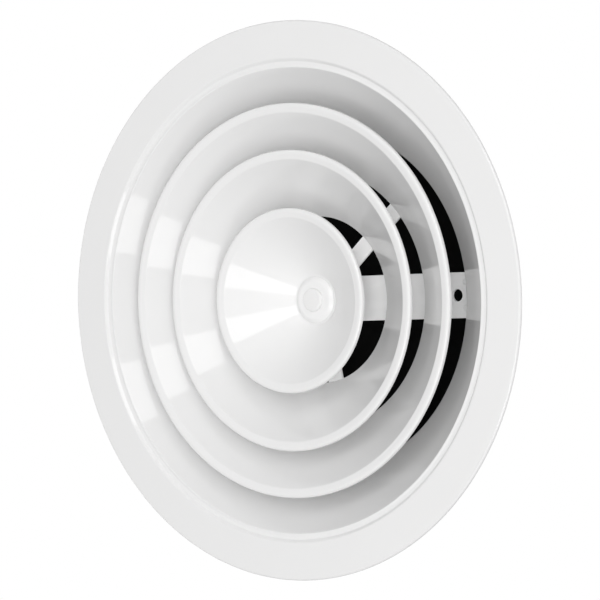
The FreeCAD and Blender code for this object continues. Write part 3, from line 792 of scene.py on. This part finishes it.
def hex_nut(name, low, high, flats, bore):
    """Hexagonal nut with turned chamfers, cut from a hexagonal bar."""
    corner = flats / math.sqrt(3)
    deselect()
    bpy.ops.mesh.primitive_cylinder_add(vertices=6, radius=corner, depth=high - low,
                                        location=(0, 0, (low + high) / 2),
                                        rotation=(0, 0, math.radians(90)))
    nut = settle(bpy.context.object, name)
    chamfer = (corner - flats / 2) * 0.6
    face, past = flats / 2 * 0.97, corner + 0.1 * MM
    turned = spun_solid("turned", [Vector(point) for point in (
        (0.3 * MM, low),
        (face, low),
        (past, low + chamfer),
        (past, high - chamfer),
        (face, high),
        (0.3 * MM, high),
    )], 64)
    modify(nut, "BOOLEAN", operation="INTERSECT", object=turned, solver="EXACT")
    flare, mouth = bore + 1.2 * MM, 0.35 * MM
    hole = spun_solid("hole", [Vector(point) for point in (
        (0.3 * MM, low - 1 * MM),
        (flare, low - 1 * MM),
        (bore, low + mouth),
        (bore, high - mouth),
        (flare, high + 1 * MM),
        (0.3 * MM, high + 1 * MM),
    )], 64)
    modify(nut, "BOOLEAN", operation="DIFFERENCE", object=hole, solver="EXACT")
    for tool in (turned, hole):
        bpy.data.objects.remove(tool)
    soften(nut, 0.12 * MM, 2)
    return smooth(nut)


def make_nuts():
    """The nut welded on the crossbar, and the one that stops the screw."""
    flats, bore = 10 * MM, 3.06 * MM
    for node, body in (("bar_nut", "housing"), ("stop_nut", "screw")):
        low, high = levels(node)
        nut = hex_nut(node + "_forging", low, high, flats, bore)
        hand_over(nut, body, "zinc_steel", PLATED, node)


def make_wave_washer():
    """Spring ring whose rim rises and falls three times."""
    low, high = levels("wave_washer")
    inside, outside = reaches("wave_washer")
    thick, edge = 0.35 * MM, 0.08 * MM
    swing = (high - low - thick) / 2
    ring = spun("wave_ring", rounded([
        (inside, low, edge),
        (outside, low, edge),
        (outside, low + thick, edge),
        (inside, low + thick, edge),
    ], loop=True), 96)
    for vertex in ring.data.vertices:
        angle = math.atan2(vertex.co.y, vertex.co.x)
        vertex.co.z += swing * (1 + math.sin(3 * angle))
    hand_over(ring, "screw", "spring_steel", SPRING, "wave_washer")


def make_clip():
    """E-shaped clip: a ring with an opening, three inner teeth and rounded ends."""
    low, high = levels("retaining_clip")
    groove, outside = reaches("retaining_clip")
    inside, edge, gap_half = groove + 0.9 * MM, 0.1 * MM, 1.7 * MM
    ring = spun("clip_ring", rounded([
        (inside, low, edge),
        (outside, low, edge),
        (outside, high, edge),
        (inside, high, edge),
    ], loop=True), 96)
    gap = block("gap", (0, -gap_half, low - 1 * MM), (outside + 1 * MM, gap_half, high + 1 * MM))
    modify(ring, "BOOLEAN", operation="DIFFERENCE", object=gap, solver="EXACT")
    bpy.data.objects.remove(gap)
    tooth_half, clear = 0.8 * MM, 0.02 * MM
    teeth = []
    for angle in (70, 180, 290):
        tooth = block("tooth", (groove, -tooth_half, low + clear),
                      (groove + 1.4 * MM, tooth_half, high - clear))
        soften(tooth, 0.15 * MM, 2)
        tooth.data.transform(about_axis(math.radians(angle)))
        teeth.append(smooth(tooth))
    clip = join("retaining_clip_stamping", [smooth(ring), *teeth])
    hand_over(clip, "screw", "spring_steel", SPRING, "retaining_clip")


# ---------------------------------------------------------------- rivets


def blind_rivet(grip):
    """A rivet along Z: upset tail below, domed head above with its drawn pin in the middle."""
    head, high, shank, tail, bulb = 3.0 * MM, 1.1 * MM, 1.6 * MM, 2.4 * MM, 1.0 * MM
    near, pin = 0.25 * MM, 0.95 * MM
    crown = grip + high
    outline = rounded([
        (near, -bulb, 0),
        (tail * 0.6, -bulb, 0.4 * MM),
        (tail, -bulb * 0.35, 0.3 * MM),
        (tail, 0, 0.1 * MM),
        (shank, 0, 0),
        (shank, grip, 0),
        (head, grip, 0),
        (head, grip + 0.25 * MM, 0.12 * MM),
        (head * 0.72, grip + high * 0.86, 0.8 * MM),
        (pin + 0.25 * MM, crown, 0.15 * MM),
        (pin, crown - 0.45 * MM, 0),
        (pin - 0.15 * MM, crown - 0.45 * MM, 0.1 * MM),
        (pin - 0.2 * MM, crown - 0.15 * MM, 0.12 * MM),
        (near, crown - 0.15 * MM, 0),
    ])
    return spun_solid("rivet", outline, 40)


def make_rivets():
    """Rivets of the two ring cones and the hub, then those between collar and spigot."""
    thick_arm = PLATE_LEVEL - ARM_LEVEL
    rows = (
        # node, distance from the axis, level of the tail, thickness held
        ("outer_cone_rivets", 82.0 * MM, ARM_LEVEL - SHEET, SHEET + thick_arm),
        ("inner_cone_rivets", 55.3 * MM, ARM_LEVEL - SHEET, SHEET + thick_arm),
        ("hub_rivets", 19.5 * MM, ARM_LEVEL, PLATE_TOP - ARM_LEVEL),
    )
    for node, radius, foot, grip in rows:
        places = [about_axis(CORE_TURN + k * math.tau / ARMS) @ Matrix.Translation((radius, 0, foot))
                  for k in range(ARMS)]
        rivet_row(node, "core", blind_rivet(grip), places)
    play = 0.04 * MM
    outwards = Matrix.Rotation(math.pi / 2, 4, "Y")
    foot = Matrix.Translation((COLLAR_IN - play, 0, COLLAR_TOP - RIVET_INSET))
    places = [about_axis((k + 0.5) * math.tau / NECK_RIVETS) @ foot @ outwards
              for k in range(NECK_RIVETS)]
    rivet_row("neck_rivets", "housing", blind_rivet(SPIGOT_RAD - COLLAR_IN + play), places)


def rivet_row(node, body, pattern, places):
    """Copies of one rivet at several places, joined as one piece."""
    copies = [copy_of(pattern, place) for place in places]
    bpy.data.objects.remove(pattern)
    row = join(node + "_set", copies)
    hand_over(smooth(row), body, "aluminium_rivet", RIVET, node)


# ---------------------------------------------------------------- nodes whose shape stays


def finish_plain_nodes():
    """Give the arms, the hub's plate and the plain rings their finishes; the arms and the plate take
    the whiter coat with painted light.
    """
    stays = {
        # The arms and the plate take the whiter coat, whose extra brightness is painted light.
        "core_arm_1": WHITE_WITH_PAINTED_LIGHT,
        "core_arm_2": WHITE_WITH_PAINTED_LIGHT,
        "core_arm_3": WHITE_WITH_PAINTED_LIGHT,
        "hub_plate": WHITE_WITH_PAINTED_LIGHT,
        "hub_spacer": PLATED,
        "hub_ring": SPRING,
        "thrust_washer": PLATED,
    }
    for node, finish in stays.items():
        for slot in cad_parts[node].material_slots:
            slot.material = finish


# ---------------------------------------------------------------- stage, lights and camera

FACE_CENTRE = Vector((0, 0, FACE))
TO_CAMERA = Vector((0.6124, 0, -0.7905))
VIEW_UP = Vector((0.0401, -0.9992, 0))      # turned a little about the line of sight
CAMERA_FAR = 1.92
CAMERA_LENS = 202.1                         # focal length on a 36 mm sensor
SHIFT_RIGHT, SHIFT_UP = 7.15 * MM, 0.4 * MM
FLOOR_LEVEL, FLOOR_WIDE = -4.0, 40
# The second colour is painted shade: the near black of the disc over the spigot's mouth, standing for
# the shade inside the duct.
PALE, PAINTED_SHADE_BLACK = (0.8, 0.8, 0.8, 1), (0.006, 0.006, 0.006, 1)


def make_camera():
    """Camera below the face and to one side."""
    data = bpy.data.cameras.new("camera")
    camera = bpy.data.objects.new("camera", data)
    bpy.context.scene.collection.objects.link(camera)
    bpy.context.scene.camera = camera
    data.sensor_width = 36
    data.lens = CAMERA_LENS
    right = (-TO_CAMERA).cross(VIEW_UP).normalized()
    up = right.cross(-TO_CAMERA).normalized()
    place = FACE_CENTRE + TO_CAMERA * CAMERA_FAR + right * SHIFT_RIGHT + up * SHIFT_UP
    turn = Matrix((right, up, TO_CAMERA)).transposed().to_4x4()
    camera.matrix_world = Matrix.Translation(place) @ turn


def seen_directly(nodes):
    """A wire that is 1 for rays from the camera, a glossy surface or a clear one."""
    camera, glossy, clear = (
        nodes.add("LightPath", output=kind)
        for kind in ("Is Camera Ray", "Is Glossy Ray", "Is Transmission Ray")
    )
    return nodes.math("MAXIMUM", nodes.math("MAXIMUM", camera, glossy), clear)


def set_stage(piece, name, mix):
    """Give a backdrop its name and a material that mixes two shaders by a factor."""
    material = bpy.data.materials.new(name)
    material.use_nodes = True
    nodes = Nodes(material.node_tree)
    nodes.tree.nodes.clear()
    factor, first, second = mix(nodes)
    surface = nodes.add("MixShader", None, {0: factor, 1: first, 2: second})
    nodes.add("OutputMaterial", None, {"Surface": surface})
    piece.data.materials.append(material)


def make_floor():
    """Pale floor that looks white but gives only its own grey back as light."""
    deselect()
    bpy.ops.mesh.primitive_plane_add(size=FLOOR_WIDE, location=(0, 0, FLOOR_LEVEL))
    floor = bpy.context.object
    floor.name = "studio_floor"
    set_stage(floor, "pale_floor", lambda nodes: (
        seen_directly(nodes),
        nodes.add("BsdfDiffuse", None, {"Color": PALE}),
        nodes.add("Emission"),
    ))


def make_painted_shade_disc():
    """Disc over the spigot's mouth, painted shade: a near black sheet that stands for the shade deep
    inside a duct, dark from below to the camera and in gloss, clear from above and to light.
    """
    deselect()
    bpy.ops.mesh.primitive_circle_add(vertices=96, radius=SPIGOT_RAD - 2 * SHEET, fill_type="NGON",
                                      location=(0, 0, SPIGOT_TOP - 0.5 * MM))
    disc = bpy.context.object
    disc.name = "painted_shade_disc"
    set_stage(disc, "painted_duct_shade", lambda nodes: (
        nodes.add("NewGeometry", output="Backfacing") * seen_directly(nodes),
        nodes.add("BsdfTransparent"),
        nodes.add("BsdfDiffuse", None, {"Color": PAINTED_SHADE_BLACK}),
    ))


def make_world(ambient):
    """World that looks white but lights the object at its own level."""
    world = bpy.data.worlds.new("studio")
    bpy.context.scene.world = world
    world.use_nodes = True
    nodes = Nodes(world.node_tree)
    light = nodes.tree.nodes["Background"]
    nodes.feed(light.inputs["Color"], (1, 1, 1, 1))
    nodes.feed(light.inputs["Strength"], ambient + (1 - ambient) * seen_directly(nodes))


def make_softbox(name, towards, far, size, radiance, mirrored):
    """Rectangular lamp that faces the diffuser; its power follows from how bright it looks."""
    data = bpy.data.lights.new(name, "AREA")
    data.shape = "RECTANGLE"
    data.size, data.size_y = size
    data.energy = radiance * math.pi * data.size * data.size_y
    lamp = bpy.data.objects.new(name, data)
    bpy.context.scene.collection.objects.link(lamp)
    lamp.visible_camera = False
    lamp.visible_glossy = mirrored
    towards = Vector(towards).normalized()
    lamp.location = FACE_CENTRE + towards * far
    lamp.rotation_mode = "QUATERNION"
    lamp.rotation_quaternion = towards.to_track_quat("Z", "Y")


AMBIENT = 0.45
LAMPS = (
    # name, direction from the face, distance, width and height, radiance, seen in glossy surfaces
    ("softbox_back", (0.517, 0.415, -0.718), 3.0, (1.12, 2.4), 2.4, True),
    ("softbox_front", (0.502, -0.438, -0.712), 3.0, (1.18, 2.4), 2.4, True),
    ("fill_camera", (0.61, 0.0, -0.79), 3.2, (1.2, 1.2), 6.2, False),
    ("fill_left", (-0.60, 0.0, -0.80), 3.2, (2.0, 2.0), 0.8, False),
)


make_flange()
make_spigot()
make_gasket()
make_crossbar()
make_ring_cone("outer_cone")
make_ring_cone("inner_cone")
make_centre_cone()
make_cup()
make_cap()
make_screw()
make_nuts()
make_wave_washer()
make_clip()
make_rivets()
finish_plain_nodes()

bpy.context.scene.view_settings.view_transform = "Standard"
make_camera()
make_floor()
# Painted shade over the spigot's mouth
make_painted_shade_disc()
make_world(AMBIENT)
for lamp in LAMPS:
    make_softbox(*lamp)
